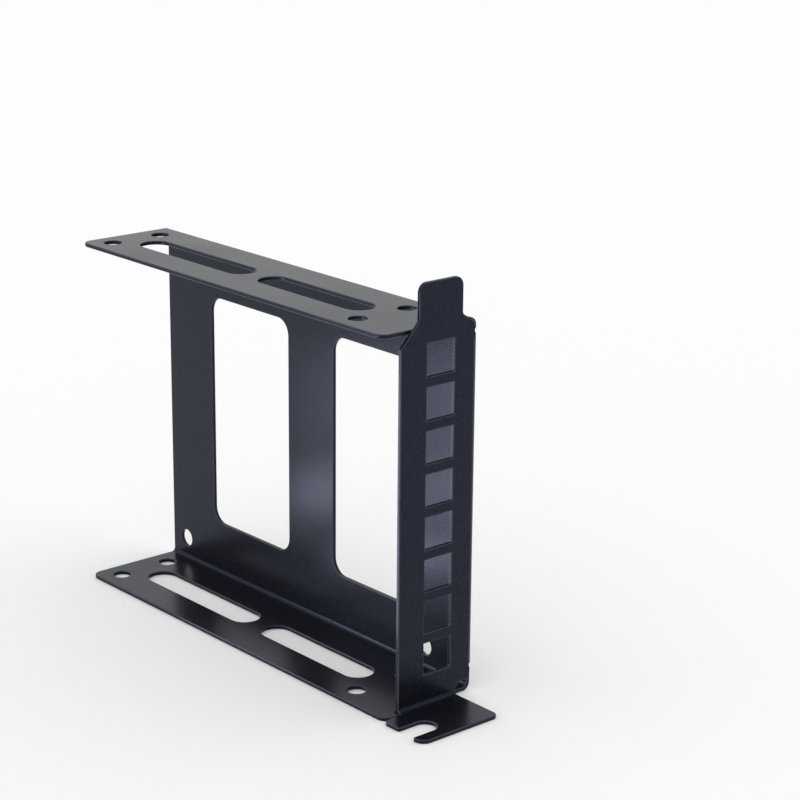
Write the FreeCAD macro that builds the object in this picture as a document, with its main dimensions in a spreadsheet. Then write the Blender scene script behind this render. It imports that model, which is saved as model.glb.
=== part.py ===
"""Drive mounting bracket: one folded steel sheet that carries a 2.5-inch drive behind a low slot cover.

Everything is in millimetres with +Z up. The sheet is drawn from its folded corner: z = 0 is the face that
the bracket stands on, the underside of the lower flange and of the screw ear; x = 0 is the slot plate's
outer face, which looks along +X; and y = 0 is the web's outer face, from which both flanges reach out
along -Y. The last step moves the origin along the standing face to the middle of the drive's screw pattern.
"""
import FreeCAD, Part
import math
import os
import Sketcher

# The driving sizes, in millimetres, in degrees for an angle and plain for a count

SIZES = {
    # the sheet
    "sheet_gauge": 0.8,
    "bend_inside": 0.8,
    # what the bay takes: a drive's width and its screw pattern
    "drive_width": 69.85,
    "drive_clearance": 0.35,
    "drive_hole_spacing": 76.6,
    "drive_base_rows": 61.72,
    # the web and its two flanges
    "web_length": 94.0,
    "flange_width": 22.0,
    "flange_corner": 2.0,
    "plate_gap": 0.2,
    "toe_gap": 0.3,
    # the slot plate, its shoulders and its tongue
    "plate_width": 18.42,
    "plate_setback": 1.2,
    "seat_to_tip": 79.2,
    "tongue_width": 10.19,
    "tongue_inset": 4.22,
    "tongue_height": 6.9,
    "tongue_corner": 1.8,
    "shoulder_angle": 45.0,
    "shoulder_root": 1.0,
    # the fold between the web and the plate
    "relief_diameter": 1.8,
    "relief_from_base": 4.8,
    "relief_from_top": 2.7,
    "corner_notch_height": 2.8,
    "corner_notch_chamfer": 0.8,
    # the screw ear
    "ear_depth": 11.9,
    "ear_width": 18.42,
    "ear_shift": 4.6,
    "ear_mouth_step": 0.5,
    "ear_root_corner": 1.0,
    "ear_far_corner": 1.2,
    "finger_corner": 2.0,
    "finger_tip": 0.35,
    "screw_notch_width": 4.4,
    "screw_notch_centre": 7.15,
    "screw_notch_depth": 7.0,
    # the windows in the web
    "window_width": 25.2,
    "window_rail": 11.7,
    "window_corner": 3.2,
    "window_from_plate": 14.9,
    "window_column": 14.0,
    # holes and slots
    "screw_hole": 3.6,
    "hole_from_plate": 12.8,
    "far_row": 6.0,
    "row_spacing": 11.5,
    "slot_width": 6.2,
    "slot_from_plate": 16.3,
    "front_slot": 31.0,
    "slot_bridge": 4.2,
    "rear_slot": 34.3,
    # the vents in the plate
    "vent_width": 6.4,
    "vent_height": 6.1,
    "vent_pitch": 8.05,
    "vent_inset": 6.1,
    "vent_from_base": 6.55,
    "vent_count": 8,
}


class Length:
    """A size of the model: its number, and the expression that works it out from the sheet of sizes."""

    def __init__(self, number, text):
        self.number = number
        self.text = text

    def join(self, sign, other, number):
        return Length(number, f"({self.text} {sign} {other.text})")

    def __add__(self, other):
        return self.join("+", other, self.number + other.number)

    def __sub__(self, other):
        return self.join("-", other, self.number - other.number)

    def __mul__(self, other):
        return self.join("*", other, self.number * other.number)

    def __neg__(self):
        return Length(-self.number, f"(-{self.text})")

    def half(self):
        return Length(self.number / 2, f"({self.text} / 2)")

    def twice(self):
        return Length(self.number * 2, f"({self.text} * 2)")

    def at_most(self, share, wall):
        """This size, or a share of a wall where the wall is too narrow for it."""
        limit = wall.number * share
        return Length(min(self.number, limit), f"min({self.text}; {wall.text} * {share})")


def size(name):
    """A driving size, read from the sheet by its name."""
    return Length(float(SIZES[name]), "Sizes." + name)


def slope(name):
    """The rise of an edge for each millimetre that it goes across, from its angle in the sheet."""
    return Length(math.tan(math.radians(SIZES[name])), f"tan(Sizes.{name} * 1 deg)")


zero = Length(0.0, "0")
one = Length(1.0, "1")

# Places that several features share

gauge = size("sheet_gauge")
bend = size("bend_inside") + gauge
bay = size("drive_width") + size("drive_clearance")
top = bay + gauge.twice()
tip = gauge + size("seat_to_tip")
web_end = -size("web_length")
flange_edge = -size("flange_width")
flange_end = -gauge - size("plate_gap")
plate_near = -size("plate_width")
plate_far = -size("plate_setback")
tongue_near = plate_near + size("tongue_inset")
tongue_far = tongue_near + size("tongue_width")
tongue_root = tip - size("tongue_height")
near_shoulder = tongue_root - size("tongue_inset") * slope("shoulder_angle")
far_shoulder = tongue_root - (plate_far - tongue_far) * slope("shoulder_angle")
relief_low = size("relief_from_base")
relief_high = top - size("relief_from_top")
fold_low = relief_low + size("relief_diameter").half()
fold_high = relief_high - size("relief_diameter").half()
ear_near = -size("ear_shift") - size("ear_width")
ear_far = -size("ear_shift")
ear_mouth = ear_near + size("ear_mouth_step")
notch_side = ear_far + size("corner_notch_chamfer")
toe_end = bend - gauge - size("toe_gap")
hole_columns = [-size("hole_from_plate"), -size("hole_from_plate") - size("drive_hole_spacing")]
hole_rows = [-size("far_row"), -size("far_row") - size("row_spacing")]
slot_line = -size("far_row") - size("row_spacing").half()


# The document, its sheet of sizes and the body

doc = FreeCAD.newDocument("drive_bracket")
sheet = doc.addObject("Spreadsheet::Sheet", "Sizes")
for row, (name, value) in enumerate(SIZES.items(), start=1):
    sheet.set(f"A{row}", name)
    sheet.set(f"B{row}", str(value))
    sheet.setAlias(f"B{row}", name)
doc.recompute()
body = doc.addObject("PartDesign::Body", "drive_bracket")
body.Label = "drive_bracket"
body.Placement = FreeCAD.Placement()
origin = {feature.Role: feature for feature in body.Origin.OriginFeatures}


# Sketches. Their first and second axes are X and Y on XY_Plane, X and Z on XZ_Plane, Y and Z on YZ_Plane.

def new_sketch(name, plane, level=zero, turn=0.0):
    """A sketch on an origin plane, moved by level along its normal and turned about its second axis."""
    sketch = body.newObject("Sketcher::SketchObject", name)
    sketch.AttachmentSupport = [(origin[plane], "")]
    sketch.MapMode = "FlatFace"
    rotation = FreeCAD.Rotation(FreeCAD.Vector(0, 1, 0), turn)
    sketch.AttachmentOffset = FreeCAD.Placement(FreeCAD.Vector(0, 0, level.number), rotation)
    sketch.setExpression("AttachmentOffset.Base.z", level.text)
    return sketch


def bind(sketch, length, *constraint):
    """Adds a constraint whose value is tied to the sheet."""
    index = sketch.addConstraint(Sketcher.Constraint(*constraint, length.number))
    sketch.setExpression(f"Constraints[{index}]", length.text)


def locate(sketch, geometry, point, across, up):
    """Ties a point of the sketch to its distances from the sketch's origin."""
    bind(sketch, across, "DistanceX", -1, 1, geometry, point)
    bind(sketch, up, "DistanceY", -1, 1, geometry, point)


def polygon(sketch, corners):
    """A closed outline of straight lines with every corner located."""
    points = [FreeCAD.Vector(across.number, up.number, 0) for across, up in corners]
    pairs = zip(points, points[1:] + points[:1])
    lines = [sketch.addGeometry(Part.LineSegment(start, end), False) for start, end in pairs]
    for line, following in zip(lines, lines[1:] + lines[:1]):
        sketch.addConstraint(Sketcher.Constraint("Coincident", line, 2, following, 1))
    for line, (across, up) in zip(lines, corners):
        locate(sketch, line, 1, across, up)


def rectangle(sketch, left, low, right, high):
    polygon(sketch, [(left, low), (right, low), (right, high), (left, high)])


def square_outline(sketch, corners, radii):
    """A closed outline whose sides run along the sketch's axes, with some corners rounded by arcs.

    The first side, from the first corner to the second, runs along the sketch's first axis.
    """
    count = len(corners)
    points = [FreeCAD.Vector(across.number, up.number, 0) for across, up in corners]
    ways = [(points[(i + 1) % count] - points[i]).normalize() for i in range(count)]
    trims = [radius.number if radius else 0.0 for radius in radii]
    sides = []
    for i in range(count):
        start = points[i] + ways[i] * trims[i]
        end = points[(i + 1) % count] - ways[i] * trims[(i + 1) % count]
        sides.append(sketch.addGeometry(Part.LineSegment(start, end), False))
        across, up = corners[i]
        if i % 2 == 0:
            sketch.addConstraint(Sketcher.Constraint("Horizontal", sides[i]))
            bind(sketch, up, "DistanceY", -1, 1, sides[i], 1)
        else:
            sketch.addConstraint(Sketcher.Constraint("Vertical", sides[i]))
            bind(sketch, across, "DistanceX", -1, 1, sides[i], 1)
    for i, radius in enumerate(radii):
        before = sides[i - 1]
        after = sides[i]
        if radius is None:
            sketch.addConstraint(Sketcher.Constraint("Coincident", before, 2, after, 1))
            continue
        start = points[i] - ways[i - 1] * trims[i]
        end = points[i] + ways[i] * trims[i]
        centre = start + ways[i] * trims[i]
        middle = centre + (points[i] - centre).normalize() * trims[i]
        if ways[i - 1].cross(ways[i]).z > 0:
            arc = sketch.addGeometry(Part.Arc(start, middle, end), False)
            first, last = 1, 2
        else:
            arc = sketch.addGeometry(Part.Arc(end, middle, start), False)
            first, last = 2, 1
        sketch.addConstraint(Sketcher.Constraint("Tangent", before, 2, arc, first))
        sketch.addConstraint(Sketcher.Constraint("Tangent", arc, last, after, 1))
        bind(sketch, radius, "Radius", arc)


def circle(sketch, across, up, diameter):
    centre = FreeCAD.Vector(across.number, up.number, 0)
    ring = sketch.addGeometry(Part.Circle(centre, FreeCAD.Vector(0, 0, 1), diameter.number / 2), False)
    locate(sketch, ring, 3, across, up)
    bind(sketch, diameter, "Diameter", ring)


def round_slot(sketch, start, end, width):
    """A slot between two end points on its middle line, with round ends, along one of the sketch's axes."""
    radius = width.half()
    first = FreeCAD.Vector(start[0].number, start[1].number, 0)
    last = FreeCAD.Vector(end[0].number, end[1].number, 0)
    way = (last - first).normalize()
    side = FreeCAD.Vector(-way.y, way.x, 0) * radius.number
    ends = [first + way * radius.number, last - way * radius.number]
    caps = [sketch.addGeometry(Part.Arc(ends[0] + side, first, ends[0] - side), False),
            sketch.addGeometry(Part.Arc(ends[1] - side, last, ends[1] + side), False)]
    walls = [sketch.addGeometry(Part.LineSegment(ends[0] - side, ends[1] - side), False),
             sketch.addGeometry(Part.LineSegment(ends[1] + side, ends[0] + side), False)]
    for cap, before, after in ((caps[0], walls[1], walls[0]), (caps[1], walls[0], walls[1])):
        sketch.addConstraint(Sketcher.Constraint("Tangent", before, 2, cap, 1))
        sketch.addConstraint(Sketcher.Constraint("Tangent", cap, 2, after, 1))
    along_first = abs(way.x) > 0.5
    for cap, point, inwards in ((caps[0], start, radius), (caps[1], end, -radius)):
        if along_first:
            locate(sketch, cap, 3, point[0] + inwards, point[1])
        else:
            locate(sketch, cap, 3, point[0], point[1] + inwards)
    sketch.addConstraint(Sketcher.Constraint("Equal", *caps))
    bind(sketch, radius, "Radius", caps[0])


# Features

def finish(feature):
    """Makes the feature the body's tip and works the body out again."""
    body.Tip = feature
    doc.recompute()
    return feature


def pad(sketch, length, backwards=False):
    """Adds material on one side of a sketch."""
    feature = body.newObject("PartDesign::Pad", sketch.Name.replace("_outline", ""))
    feature.Profile = sketch
    feature.Length = length.number
    feature.setExpression("Length", length.text)
    feature.Reversed = backwards
    return finish(feature)


def pocket(sketch, depth=None, along_normal=True):
    """Cuts a sketch's outlines to a depth, or right through the body, and makes sure that it cuts."""
    before = body.Shape.Volume
    feature = body.newObject("PartDesign::Pocket", sketch.Name.replace("_outline", ""))
    feature.Profile = sketch
    feature.Reversed = along_normal
    if depth is None:
        feature.Type = "ThroughAll"
    else:
        feature.Length = depth.number
        feature.setExpression("Length", depth.text)
    finish(feature)
    if body.Shape.Volume > before - 0.01:
        raise RuntimeError(f"{feature.Name} removes nothing")
    return feature


def pattern(name, original, axis, pitch, count, backwards=False):
    """Repeats a cut along an origin axis."""
    before = body.Shape.Volume
    feature = body.newObject("PartDesign::LinearPattern", name)
    feature.Originals = [original]
    feature.Direction = (origin[axis], [""])
    feature.Reversed = backwards
    span = pitch * (count - one)
    feature.Length = span.number
    feature.setExpression("Length", span.text)
    feature.Occurrences = int(count.number)
    feature.setExpression("Occurrences", count.text)
    finish(feature)
    if body.Shape.Volume > before - 0.01:
        raise RuntimeError(f"{name} repeats nothing")
    return feature


def round_edges(name, places, radius):
    """Rounds the straight edges whose middles lie at the places; None in a place stands for any value."""
    names = []
    for index, edge in enumerate(body.Shape.Edges, start=1):
        if edge.Curve.TypeId != "Part::GeomLine":
            continue
        middle = edge.CenterOfMass
        for place in places:
            axis = place.index(None)
            way = edge.tangentAt(edge.FirstParameter)
            gaps = [abs(middle[i] - place[i].number) for i in range(3) if place[i] is not None]
            if abs(way[axis]) > 0.999 and max(gaps) < 0.005:
                names.append(f"Edge{index}")
    if len(names) < len(places):
        raise RuntimeError(f"{name} finds {len(names)} edges for {len(places)} places")
    base = body.Tip
    feature = body.newObject("PartDesign::Fillet", name)
    feature.Base = (base, names)
    feature.Radius = radius.number
    feature.setExpression("Radius", radius.text)
    return finish(feature)


# The web and its two flanges: a channel of sheet, folded along both long edges

section = new_sketch("channel_outline", "YZ_Plane", web_end)
inside = size("bend_inside")
square_outline(section,
               [(flange_edge, zero), (zero, zero), (zero, top), (flange_edge, top),
                (flange_edge, top - gauge), (-gauge, top - gauge), (-gauge, gauge), (flange_edge, gauge)],
               [None, bend, bend, None, None, inside, inside, None])
pad(section, flange_end - web_end)

# The lower flange's toe, which runs on past the plate's free edge up to the ear

toe = new_sketch("toe_outline", "XY_Plane")
rectangle(toe, flange_end - gauge, flange_edge, toe_end, plate_near - size("plate_gap"))
pad(toe, gauge)
round_edges("flange_corners", [(web_end, flange_edge, None), (flange_end, flange_edge, None)],
            size("flange_corner"))
toe_width = plate_near - size("plate_gap") - flange_edge
round_edges("toe_corner", [(toe_end, flange_edge, None)], size("flange_corner").at_most(0.9, toe_width))

# The fold that turns the web into the slot plate. The web stops short where the bend begins.

clearing = new_sketch("fold_clearing_outline", "XZ_Plane")
rectangle(clearing, -bend, fold_low, zero, fold_high)
pocket(clearing, gauge.twice())
reach = bend + gauge
fold = new_sketch("fold_outline", "XY_Plane", fold_low)
square_outline(fold,
               [(-reach, -gauge), (-gauge, -gauge), (-gauge, -reach),
                (zero, -reach), (zero, zero), (-reach, zero)],
               [None, inside, None, None, bend, None])
pad(fold, fold_high - fold_low)

# The slot plate, with sloping shoulders and the tongue that slips into the case

plate = new_sketch("plate_outline", "YZ_Plane", -gauge)
polygon(plate, [(plate_near, bend), (ear_far, bend), (notch_side, bend + size("corner_notch_chamfer")),
                (notch_side, size("corner_notch_height")), (plate_far, size("corner_notch_height")),
                (plate_far, fold_low), (-bend, fold_low),
                (-bend, fold_high), (plate_far, fold_high), (plate_far, far_shoulder),
                (tongue_far, tongue_root), (tongue_far, tip), (tongue_near, tip),
                (tongue_near, tongue_root), (plate_near, near_shoulder)])
pad(plate, gauge)
round_edges("tongue_corners", [(None, tongue_near, tip), (None, tongue_far, tip)], size("tongue_corner"))
round_edges("tongue_roots", [(None, tongue_near, tongue_root), (None, tongue_far, tongue_root)],
            size("shoulder_root"))

# The screw ear, folded outwards from the plate's foot and wider than that fold on its free side

ear_fold = new_sketch("ear_fold_outline", "XZ_Plane", -ear_far)
square_outline(ear_fold,
               [(-gauge, zero), (bend, zero), (bend, gauge), (zero, gauge), (zero, reach), (-gauge, reach)],
               [bend, None, None, inside, None, None])
pad(ear_fold, ear_far - plate_near)
ear = new_sketch("ear_outline", "XY_Plane")
notch_middle = size("screw_notch_centre")
polygon(ear, [(inside, ear_mouth), (notch_middle, ear_mouth), (notch_middle, ear_near),
              (size("ear_depth"), ear_near), (size("ear_depth"), ear_far), (inside, ear_far)])
pad(ear, gauge)
notch = new_sketch("screw_notch_outline", "XY_Plane")
round_slot(notch, (notch_middle, ear_near - size("screw_notch_width")),
           (notch_middle, ear_near + size("screw_notch_depth")), size("screw_notch_width"))
pocket(notch)
finger_root = notch_middle + size("screw_notch_width").half()
finger = size("ear_depth") - finger_root
mouth = notch_middle - size("screw_notch_width").half()
round_edges("finger_tip", [(finger_root, ear_near, None), (mouth, ear_mouth, None)],
            size("finger_tip").at_most(0.15, finger))
round_edges("finger_corner", [(size("ear_depth"), ear_near, None)],
            size("finger_corner").at_most(0.8, finger))
round_edges("ear_far_corner", [(size("ear_depth"), ear_far, None)], size("ear_far_corner"))
round_edges("ear_root_corner", [(inside, ear_mouth, None)], size("ear_root_corner"))

# Round reliefs at both ends of the fold, square to its corner

reliefs = new_sketch("relief_outline", "XZ_Plane", zero, -45)
circle(reliefs, zero, relief_low, size("relief_diameter"))
circle(reliefs, zero, relief_high, size("relief_diameter"))
pocket(reliefs, bend.twice())

# Two windows in the web

window = new_sketch("window_outline", "XZ_Plane")
window_right = -size("window_from_plate")
window_left = window_right - size("window_width")
window_low = size("window_rail")
window_high = top - size("window_rail")
square_outline(window,
               [(window_left, window_low), (window_right, window_low),
                (window_right, window_high), (window_left, window_high)],
               [size("window_corner")] * 4)
pattern("windows", pocket(window, gauge.twice()), "X_Axis",
        size("window_width") + size("window_column"), Length(2.0, "2"), backwards=True)

# Screw holes and long slots, punched alike through both flanges

slots = new_sketch("slot_outline", "XY_Plane")
front_end = -size("slot_from_plate")
front_start = front_end - size("front_slot")
rear_end = front_start - size("slot_bridge")
for start, end in ((front_start, front_end), (rear_end - size("rear_slot"), rear_end)):
    round_slot(slots, (start, slot_line), (end, slot_line), size("slot_width"))
pocket(slots)
holes = new_sketch("screw_hole_outline", "XY_Plane")
for column in hole_columns:
    for row_line in hole_rows:
        circle(holes, column, row_line, size("screw_hole"))
pocket(holes)

# Two holes in the web for the screws in a drive's base

base_holes = new_sketch("base_hole_outline", "XZ_Plane")
base_row = gauge + (bay - size("drive_base_rows")).half()
for column in hole_columns:
    circle(base_holes, column, base_row, size("screw_hole"))
pocket(base_holes, gauge.twice())

# A column of vents in the plate

vent = new_sketch("vent_outline", "YZ_Plane")
vent_near = plate_near + size("vent_inset")
vent_low = size("vent_from_base")
rectangle(vent, vent_near, vent_low, vent_near + size("vent_width"), vent_low + size("vent_height"))
pattern("vents", pocket(vent, gauge.twice(), along_normal=False), "Z_Axis",
        size("vent_pitch"), size("vent_count"))

# The finished sheet, with the model's origin brought under the middle of the drive's screw pattern

middle = {"x": size("hole_from_plate") + size("drive_hole_spacing").half(), "y": -slot_line}
moved = FreeCAD.Vector(middle["x"].number, middle["y"].number, 0)
body.Placement = FreeCAD.Placement(moved, FreeCAD.Rotation())
for axis, shift in middle.items():
    body.setExpression(f"Placement.Base.{axis}", shift.text)
doc.recompute()
faults = [feature.Name for feature in doc.Objects if {"Invalid", "Error"} & set(feature.State)]
if faults:
    raise RuntimeError("not worked out: " + ", ".join(faults))
if body.Shape.isNull() or not body.Shape.isValid() or len(body.Shape.Solids) != 1:
    raise RuntimeError("the sheet is not one sound solid")
print("volume in cubic millimetres", round(body.Shape.Volume, 1), "box", body.Shape.BoundBox)
os.makedirs("parts", exist_ok=True)
body.Shape.exportStep("parts/drive_bracket.step")
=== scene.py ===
# %% [markdown]
# # A folded drive bracket, coated black
#
# The bracket is one piece of 0.8 mm steel sheet: punched flat, folded, and powder coated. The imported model
# already has its exact shape. What a camera sees beyond that shape is the coat: it rounds every cut edge a
# little, and its fine grain breaks up each reflection. This lesson adds those two things and lights them.

import math

import bmesh
import bpy
from mathutils import Matrix, Vector


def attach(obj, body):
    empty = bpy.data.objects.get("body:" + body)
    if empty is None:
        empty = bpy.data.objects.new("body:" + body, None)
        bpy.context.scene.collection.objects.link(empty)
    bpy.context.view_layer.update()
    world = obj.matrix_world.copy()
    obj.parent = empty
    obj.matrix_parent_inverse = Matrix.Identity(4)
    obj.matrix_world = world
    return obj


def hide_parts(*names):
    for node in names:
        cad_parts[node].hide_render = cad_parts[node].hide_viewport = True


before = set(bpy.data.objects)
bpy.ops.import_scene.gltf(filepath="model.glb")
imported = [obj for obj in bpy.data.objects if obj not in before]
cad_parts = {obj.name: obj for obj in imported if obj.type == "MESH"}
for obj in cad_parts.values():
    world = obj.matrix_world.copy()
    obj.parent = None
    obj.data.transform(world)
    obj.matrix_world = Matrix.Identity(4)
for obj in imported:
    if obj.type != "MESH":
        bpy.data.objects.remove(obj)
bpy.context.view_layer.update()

# %% [markdown]
# ## The camera
#
# A photograph can be matched by trying angles by eye, or by fitting a camera to edges measured in it.
# Fitting is exact and quick to repeat, so the camera's place and direction here are the numbers that the
# fit gave. It looks along its own direction from the right and a little above, turned by half a degree
# about that direction.

# %% Place the camera
AZIMUTH = math.radians(49.005)
ELEVATION = math.radians(16.784)
ROLL = math.radians(0.516)
EYE = Vector((0.336366, -0.254788, 0.173969))
FOCAL_PIXELS = 2279.85
PICTURE_PIXELS = 800
SENSOR_WIDTH = 36.0
NEAREST_SEEN = 0.01

forward = Vector((-math.sin(AZIMUTH) * math.cos(ELEVATION),
                  math.cos(AZIMUTH) * math.cos(ELEVATION),
                  -math.sin(ELEVATION)))
level = Vector((math.cos(AZIMUTH), math.sin(AZIMUTH), 0.0))
right = (level * math.cos(ROLL) + level.cross(forward) * math.sin(ROLL)).normalized()
upward = right.cross(forward)

lens = bpy.data.cameras.new("camera")
lens.sensor_width = SENSOR_WIDTH
lens.lens = SENSOR_WIDTH * FOCAL_PIXELS / PICTURE_PIXELS
lens.clip_start = NEAREST_SEEN
camera = bpy.data.objects.new("camera", lens)
turn = Matrix((right, upward, -forward)).transposed().to_4x4()
camera.matrix_world = Matrix.Translation(EYE) @ turn
bpy.context.scene.collection.objects.link(camera)
bpy.context.scene.camera = camera
print("focal length in mm", round(lens.lens, 2))

# %% [markdown]
# ## The sheet's rounded edges
#
# A punched edge is sharp on paper, but the coat flows round it and leaves a radius of about a fifth of a
# millimetre. That radius is what draws a thin light line along every edge of the real bracket. A bump map
# can't bend a silhouette, so the edges are bevelled in the mesh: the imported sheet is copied, its loose
# triangles are merged, flat areas are dissolved back into large faces, and the sharp edges are bevelled.
# Only the two small reliefs where the folds meet are tighter than that radius, and they stay as punched.

# %% Copy the sheet and merge its triangles
SAME_POINT = 2e-6
STILL_FLAT = math.radians(1.0)

sheet_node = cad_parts["drive_bracket"]
sheet = bmesh.new()
sheet.from_mesh(sheet_node.data)
bmesh.ops.remove_doubles(sheet, verts=sheet.verts, dist=SAME_POINT)
bmesh.ops.dissolve_limit(sheet, angle_limit=STILL_FLAT, verts=sheet.verts, edges=sheet.edges)
print("merged sheet", len(sheet.verts), "vertices", len(sheet.faces), "faces")

# %% Choose the edges that the coat rounds
SHARP = math.radians(40.0)
RELIEF_SIDE = Vector((0.0475, 0.0085))
RELIEF_HEIGHTS = ((0.0034, 0.0092), (0.0650, 0.0716))


def in_relief(edge):
    """Tells whether an edge lies in one of the two reliefs at the fold between web and slot plate."""
    middle = (edge.verts[0].co + edge.verts[1].co) / 2
    beside = middle.x > RELIEF_SIDE.x and middle.y > RELIEF_SIDE.y
    return beside and any(low < middle.z < high for low, high in RELIEF_HEIGHTS)


sharp = [edge for edge in sheet.edges if edge.is_manifold and edge.calc_face_angle() > SHARP]
rounded_edges = [edge for edge in sharp if not in_relief(edge)]
print("sharp edges", len(sharp), "to be rounded", len(rounded_edges))

# %% Round the cut edges
COAT_RADIUS = 0.00018
RIM_STEPS = 3

rim = sheet.faces.layers.float.new("rim")
rounded = bmesh.ops.bevel(sheet, geom=rounded_edges, offset=COAT_RADIUS, offset_type="OFFSET",
                          segments=RIM_STEPS, profile=0.5, affect="EDGES", clamp_overlap=False,
                          loop_slide=False, material=-1)
rim_area = sum(face.calc_area() for face in rounded["faces"])
print("new faces", len(rounded["faces"]), "rim area in mm2", round(rim_area * 1e6))

# %% Mark the rims, where the coat runs thin and a highlight is painted
for face in rounded["faces"]:
    face[rim] = 1.0
print("rim faces marked", len(rounded["faces"]))

# %% [markdown]
# ## Corners that touch
#
# Where two rims meet beside a relief, the bevel leaves a few pairs of corners on one spot. Little of that
# shows in a picture, but each pair gives empty triangles when the mesh is split. Merging the corners closes
# them, and it comes after the marking because a merge can delete a face that the bevel's list still names.

# %% Merge the corners that touch
TOUCHING = 1e-7

corners_before = len(sheet.verts)
bmesh.ops.remove_doubles(sheet, verts=sheet.verts, dist=TOUCHING)
print("corners merged", corners_before - len(sheet.verts))

# %% Make the coated sheet
LARGE_FACES_FIRST = 100

mesh = bpy.data.meshes.new("coated_sheet")
sheet.to_mesh(mesh)
sheet.free()
mesh.shade_smooth()
bracket = bpy.data.objects.new("coated_sheet", mesh)
bpy.context.scene.collection.objects.link(bracket)
weights = bracket.modifiers.new("flat_faces_stay_flat", "WEIGHTED_NORMAL")
weights.weight = LARGE_FACES_FIRST
weights.keep_sharp = False
print("coated sheet", len(mesh.vertices), "vertices", len(mesh.polygons), "faces")

# %% [markdown]
# ## The powder coat
#
# Powder coat is paint that was baked from dust: a dark, slightly blue satin skin with a fine grain of tiny
# hills. Grain that fine is bump, not mesh. The hills are also painted a little lighter than the valleys, as
# painted light that they catch, which shows as a fine speckle. Both come out of one node group, so that
# scale and depth have names.

# %% Write three helpers for nodes
def new_group(name, inputs, outputs):
    """A node group with named number inputs and outputs, and its two end nodes."""
    group = bpy.data.node_groups.new(name, "ShaderNodeTree")
    for label, kind, value in inputs:
        socket = group.interface.new_socket(name=label, in_out="INPUT", socket_type=kind)
        socket.default_value = value
    for label, kind in outputs:
        group.interface.new_socket(name=label, in_out="OUTPUT", socket_type=kind)
    return group, group.nodes.new("NodeGroupInput"), group.nodes.new("NodeGroupOutput")


def link(tree, source, target):
    """Joins an output socket to an input socket."""
    tree.links.new(source, target)


def stretch(tree, source, band=(0.0, 1.0), new_band=(0.0, 1.0)):
    """Spreads the part of a value inside a band over a new band, and cuts off the rest."""
    spread = tree.nodes.new("ShaderNodeMapRange")
    spread.inputs["From Min"].default_value, spread.inputs["From Max"].default_value = band
    spread.inputs["To Min"].default_value, spread.inputs["To Max"].default_value = new_band
    link(tree, source, spread.inputs["Value"])
    return spread.outputs["Result"]


# %% Build the grain group
HILLS_PER_METRE = 2400.0
PATCHES_PER_METRE = 60.0
HILL_DETAIL = 2.0
PATCH_DETAIL = 3.0
NOISE_BAND = (0.3, 0.7)

grain_group, grain_in, grain_out = new_group(
    "powder_grain",
    [("Place", "NodeSocketVector", (0.0, 0.0, 0.0)),
     ("Hills per metre", "NodeSocketFloat", HILLS_PER_METRE),
     ("Patches per metre", "NodeSocketFloat", PATCHES_PER_METRE)],
    [("Height", "NodeSocketFloat"), ("Speckle", "NodeSocketFloat"), ("Patches", "NodeSocketFloat")])
hills = grain_group.nodes.new("ShaderNodeTexNoise")
hills.inputs["Detail"].default_value = HILL_DETAIL
link(grain_group, grain_in.outputs["Place"], hills.inputs["Vector"])
link(grain_group, grain_in.outputs["Hills per metre"], hills.inputs["Scale"])
link(grain_group, hills.outputs["Fac"], grain_out.inputs["Height"])
link(grain_group, stretch(grain_group, hills.outputs["Fac"], NOISE_BAND), grain_out.inputs["Speckle"])
patches = grain_group.nodes.new("ShaderNodeTexNoise")
patches.inputs["Detail"].default_value = PATCH_DETAIL
link(grain_group, grain_in.outputs["Place"], patches.inputs["Vector"])
link(grain_group, grain_in.outputs["Patches per metre"], patches.inputs["Scale"])
link(grain_group, stretch(grain_group, patches.outputs["Fac"], NOISE_BAND), grain_out.inputs["Patches"])
print("grain group sockets", [item.name for item in grain_group.interface.items_tree])

# %% [markdown]
# ## Colour, sheen, thin edges and painted edge highlights
#
# The coat's blue is in its gloss, not in its pigment: faces seen steeply look blue black, and faces seen
# flatly mirror the pale ground in neutral grey. A specular tint does just that. On the rounded rims the
# powder melts away from the edge, so the coat is thinner and greyer there, a little more in some places than
# in others. That grey is also a painted highlight, which lightens the light line along each edge.

# %% Mix the coat's material
SHEEN = 0.28
SHEEN_TINT = (0.45, 0.55, 1.0, 1.0)
GRAIN_STRENGTH = 0.45
GRAIN_DEPTH = 0.00004

coat = bpy.data.materials.new("powder_coat")
coat.use_nodes = True
tree = coat.node_tree
shader = tree.nodes["Principled BSDF"]
shader.inputs["Specular IOR Level"].default_value = SHEEN
shader.inputs["Specular Tint"].default_value = SHEEN_TINT
place = tree.nodes.new("ShaderNodeTexCoord")
grain = tree.nodes.new("ShaderNodeGroup")
grain.node_tree = grain_group
link(tree, place.outputs["Object"], grain.inputs["Place"])
bump = tree.nodes.new("ShaderNodeBump")
bump.inputs["Strength"].default_value = GRAIN_STRENGTH
bump.inputs["Distance"].default_value = GRAIN_DEPTH
link(tree, grain.outputs["Height"], bump.inputs["Height"])
link(tree, bump.outputs["Normal"], shader.inputs["Normal"])

# %% Colour the grain and the rims
# The hills' lighter colour is painted light and the valleys' darker colour is painted shade on the grain.
SHADED_VALLEY = (0.0008, 0.001, 0.0016, 1.0)
LIT_HILL = (0.009, 0.010, 0.0135, 1.0)
# The rims' greyer colour is partly a thinner coat and partly a painted highlight along each edge, stronger
# in some patches than in others.
THIN_COAT_AND_PAINTED_HIGHLIGHT = (0.05, 0.051, 0.057, 1.0)
THINNED_AND_LIT = (0.4, 1.0)
ROUGHNESS = (0.23, 0.29)
MIX_FIRST, MIX_SECOND, MIXED = 6, 7, 2


def blend(factor, first, second):
    """A colour between two colours or colour sockets."""
    mix = tree.nodes.new("ShaderNodeMix")
    mix.data_type = "RGBA"
    link(tree, factor, mix.inputs["Factor"])
    for socket, value in ((mix.inputs[MIX_FIRST], first), (mix.inputs[MIX_SECOND], second)):
        if isinstance(value, tuple):
            socket.default_value = value
        else:
            link(tree, value, socket)
    return mix.outputs[MIXED]


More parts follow.
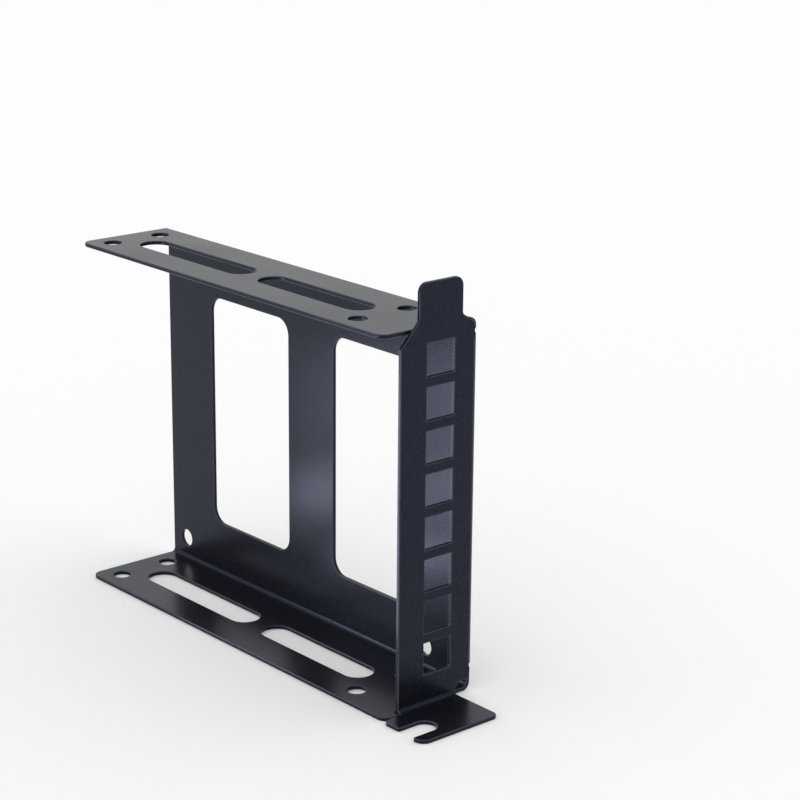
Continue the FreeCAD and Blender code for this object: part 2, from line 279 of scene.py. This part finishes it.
rim_mark = tree.nodes.new("ShaderNodeAttribute")
rim_mark.attribute_name = "rim"
uneven = tree.nodes.new("ShaderNodeMath")
uneven.operation = "MULTIPLY"
link(tree, rim_mark.outputs["Fac"], uneven.inputs[0])
link(tree, stretch(tree, grain.outputs["Patches"], new_band=THINNED_AND_LIT), uneven.inputs[1])
link(tree, blend(uneven.outputs["Value"], blend(grain.outputs["Speckle"], SHADED_VALLEY, LIT_HILL), THIN_COAT_AND_PAINTED_HIGHLIGHT),
     shader.inputs["Base Color"])
link(tree, stretch(tree, grain.outputs["Patches"], new_band=ROUGHNESS), shader.inputs["Roughness"])
mesh.materials.append(coat)
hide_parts("drive_bracket")
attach(bracket, "root")
print("coat nodes", len(tree.nodes))

# %% [markdown]
# ## Floor and light
#
# The photograph has a white ground and soft light from all round. A pale floor takes the object's shadow,
# and a plain white world does nearly all of the lighting, as a light tent does. The paper is lifted to full
# white only where a camera or a gloss sees it, so that it sheds no extra light on the bracket.

# %% Lay the floor
FLOOR_HALF = 6.0

ground = bmesh.new()
bmesh.ops.create_grid(ground, x_segments=1, y_segments=1, size=FLOOR_HALF)
floor_mesh = bpy.data.meshes.new("floor")
ground.to_mesh(floor_mesh)
ground.free()
floor = bpy.data.objects.new("floor", floor_mesh)
bpy.context.scene.collection.objects.link(floor)
print("floor side in m", floor.dimensions.x)

# %% Make the paper white
WHITE = (1.0, 1.0, 1.0, 1.0)
PAPER = (0.96, 0.96, 0.96, 1.0)
PAPER_ROUGHNESS = 0.9
PAPER_LIFT = 0.05

paper = bpy.data.materials.new("floor_paper")
paper.use_nodes = True
paper_tree = paper.node_tree
paper_shader = paper_tree.nodes["Principled BSDF"]
paper_shader.inputs["Base Color"].default_value = PAPER
paper_shader.inputs["Roughness"].default_value = PAPER_ROUGHNESS
paper_shader.inputs["Emission Color"].default_value = WHITE
ray = paper_tree.nodes.new("ShaderNodeLightPath")
seen = ray.outputs["Is Camera Ray"]
for kind in ("Is Glossy Ray", "Is Transmission Ray"):
    either = paper_tree.nodes.new("ShaderNodeMath")
    either.operation = "MAXIMUM"
    link(paper_tree, seen, either.inputs[0])
    link(paper_tree, ray.outputs[kind], either.inputs[1])
    seen = either.outputs["Value"]
lift = paper_tree.nodes.new("ShaderNodeMath")
lift.operation = "MULTIPLY"
lift.inputs[1].default_value = PAPER_LIFT
link(paper_tree, seen, lift.inputs[0])
link(paper_tree, lift.outputs["Value"], paper_shader.inputs["Emission Strength"])
floor_mesh.materials.append(paper)
print("paper lift", PAPER_LIFT)

# %% Raise the light tent
TENT_STRENGTH = 0.97

world = bpy.data.worlds.new("light_tent")
bpy.context.scene.world = world
world.use_nodes = True
sky = world.node_tree.nodes["Background"]
sky.inputs["Color"].default_value = WHITE
sky.inputs["Strength"].default_value = TENT_STRENGTH
bpy.context.scene.view_settings.view_transform = "Standard"
print("tent strength", TENT_STRENGTH)

# %% [markdown]
# ## The low lamps
#
# A black coat shows hardly any colour of its own: it shows what it mirrors. Seen through the vents, the web
# mirrors the ground just in front of it, and the photograph has paler patches there. A row of very weak,
# low strips of light draws them. Two more stand where the slot plate's near edge mirrors them, and give
# that edge its light line. They light the bracket alone, so the paper stays even, and the camera doesn't
# see them.

# %% Hang the low lamps
STRIP_SPREAD = math.radians(60.0)
STRIPS = {
    # place, target, width and height in metres, and power in watts
    "front_strip": ((0.0, -0.15, 0.03), (0.04, 0.01, 0.045), 0.12, 0.05, 0.02),
    "high_strip": ((-0.050, -0.065, 0.020), (0.035, 0.012, 0.055), 0.05, 0.020, 0.0007),
    "middle_strip": ((-0.020, -0.040, 0.030), (0.040, 0.012, 0.015), 0.04, 0.030, 0.00124),
    "low_strip": ((-0.030, -0.045, 0.006), (0.035, 0.012, 0.028), 0.05, 0.010, 0.0009),
    "foot_strip": ((-0.004, -0.024, 0.003), (0.035, 0.012, 0.012), 0.03, 0.005, 0.0005),
    "high_edge_strip": ((-0.0064, -0.0563, 0.028), (0.0507, -0.0067, 0.05), 0.014, 0.034, 0.0012),
    "low_edge_strip": ((0.0240, -0.0300, 0.012), (0.0507, -0.0067, 0.022), 0.012, 0.020, 0.0005),
}

lit_by_strips = bpy.data.collections.new("lit_by_strips")
lit_by_strips.objects.link(bracket)


def light_strip(name, place, target, width, height, power):
    """An oblong lamp of soft light that faces a target, lights only the bracket and stays unseen."""
    lamp = bpy.data.lights.new(name, "AREA")
    lamp.shape = "RECTANGLE"
    lamp.size = width
    lamp.size_y = height
    lamp.energy = power
    lamp.spread = STRIP_SPREAD
    strip = bpy.data.objects.new(name, lamp)
    aim = Vector(target) - Vector(place)
    strip.matrix_world = Matrix.Translation(place) @ aim.to_track_quat("-Z", "Y").to_matrix().to_4x4()
    strip.visible_camera = False
    strip.light_linking.receiver_collection = lit_by_strips
    bpy.context.scene.collection.objects.link(strip)
    print(name, "power", power)


for strip_name, (strip_place, strip_target, strip_width, strip_height, strip_power) in STRIPS.items():
    light_strip(strip_name, strip_place, strip_target, strip_width, strip_height, strip_power)
